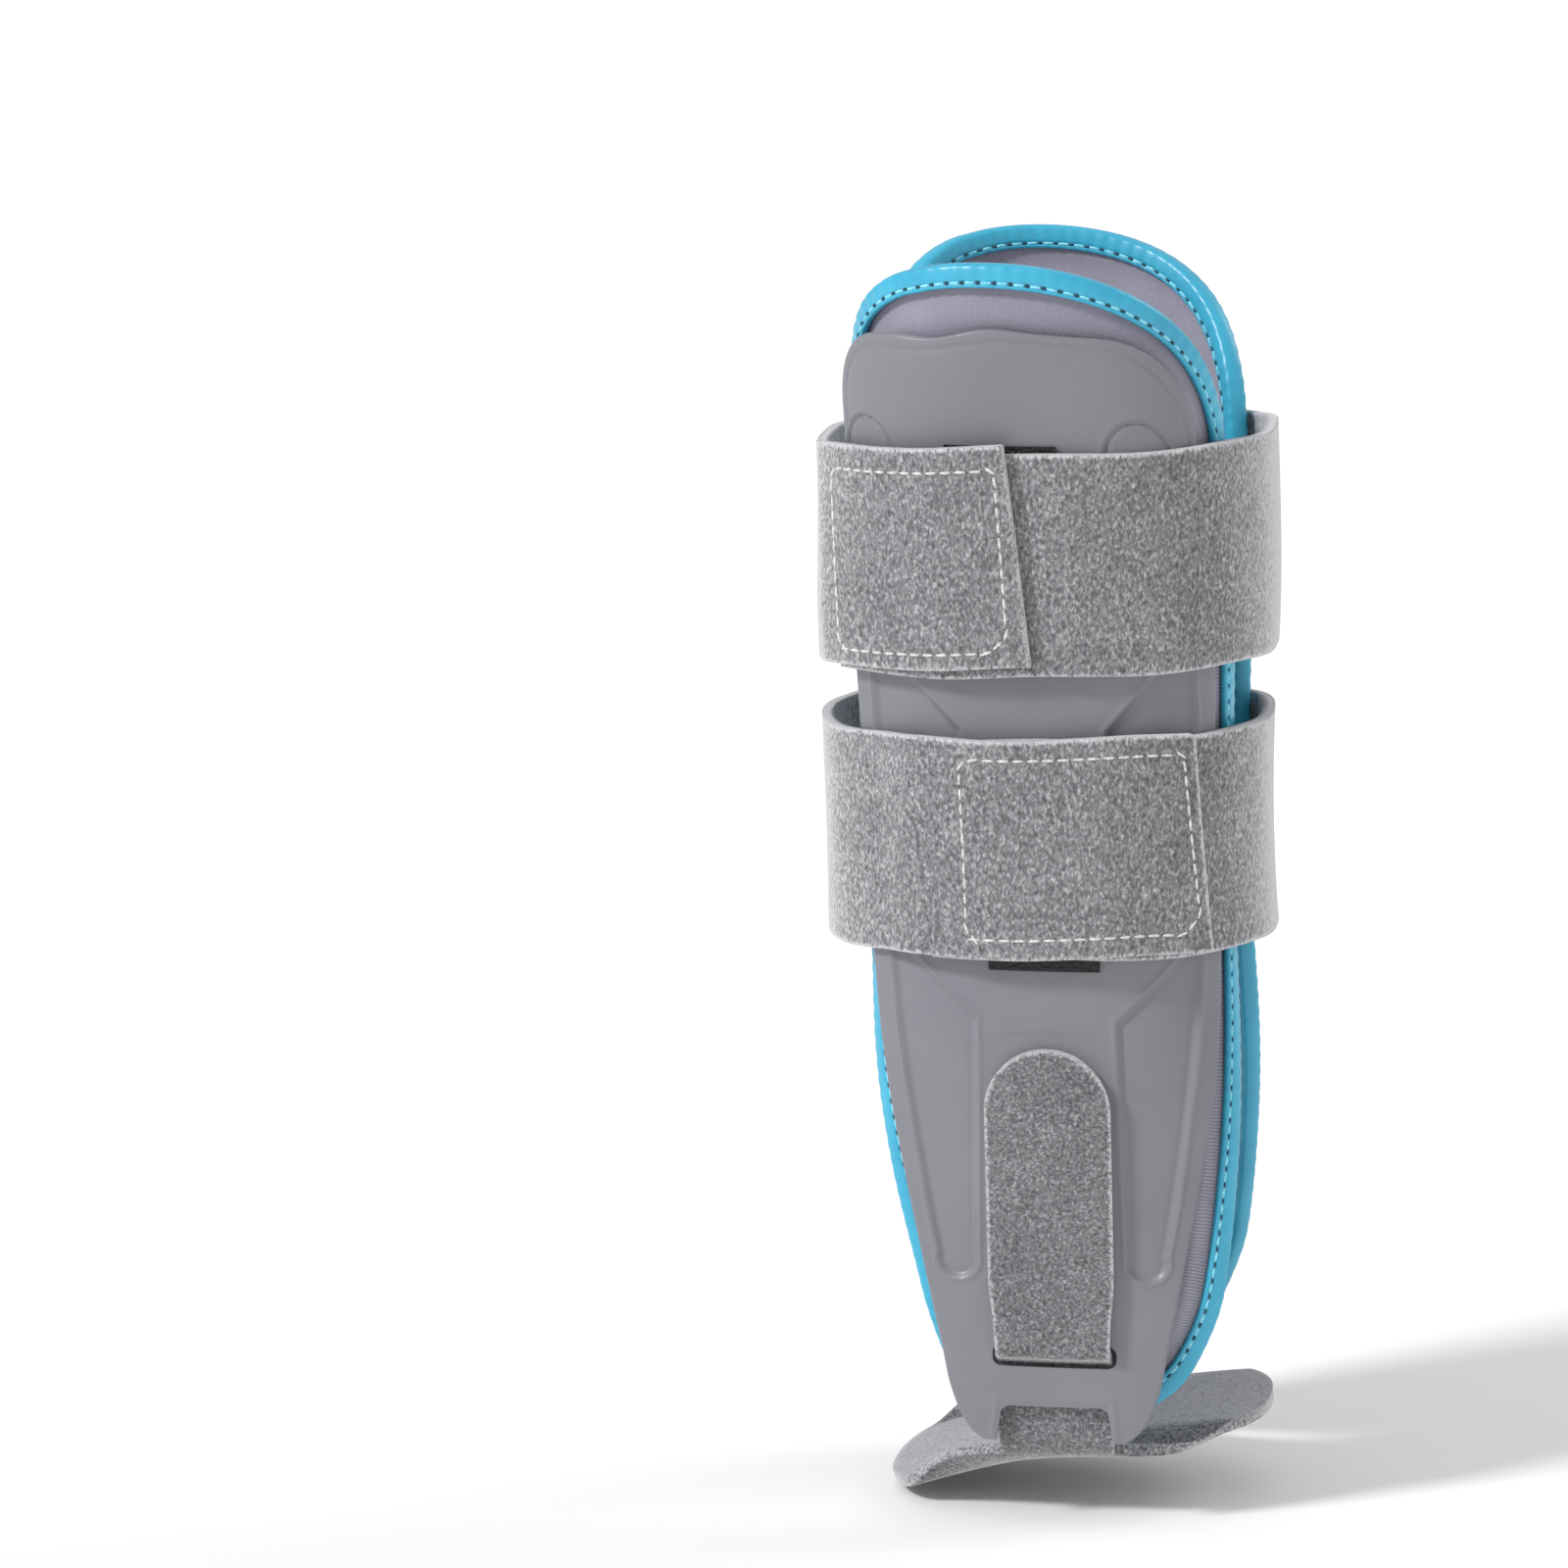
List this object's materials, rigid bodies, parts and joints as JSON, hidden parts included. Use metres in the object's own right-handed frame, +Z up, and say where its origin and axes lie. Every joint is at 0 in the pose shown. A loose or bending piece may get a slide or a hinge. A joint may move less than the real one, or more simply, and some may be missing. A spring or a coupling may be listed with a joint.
{
  "type": "stirrup ankle brace",
  "caption": "Stirrup ankle brace: rigid curved side shells with bound foam pads, wrap straps and a heel strap threaded through the shells' slots.",
  "frame": {"origin": "the heel seat: the middle of the heel strap's upper face, where the wearer's heel sits", "axes": "+Z up the shank, +X to the back of the heel, the lateral side (nearer in the picture) at -Y"},
  "size_m": [0.1061, 0.1179, 0.289],
  "materials": {
    "shell_plastic": "satin moulded grey plastic",
    "pad_fabric": "lavender grey ribbed knit over foam",
    "binding_tape": "smooth blue folded tape, stitched",
    "loop_pile": "heather grey brushed loop pile",
    "hook_tape": "black moulded hook tape"
  },
  "bodies": {
    "root": {"lateral_shell": "shell_plastic", "medial_shell": "shell_plastic", "lateral_pad": "pad_fabric", "medial_pad": "pad_fabric", "lateral_binding": "binding_tape", "medial_binding": "binding_tape", "upper_strap": "loop_pile", "lower_strap": "loop_pile", "heel_strap": "loop_pile", "lateral_upper_patch": "hook_tape", "lateral_lower_patch": "hook_tape", "medial_upper_patch": "hook_tape", "medial_lower_patch": "hook_tape"}
  },
  "joints": []
}
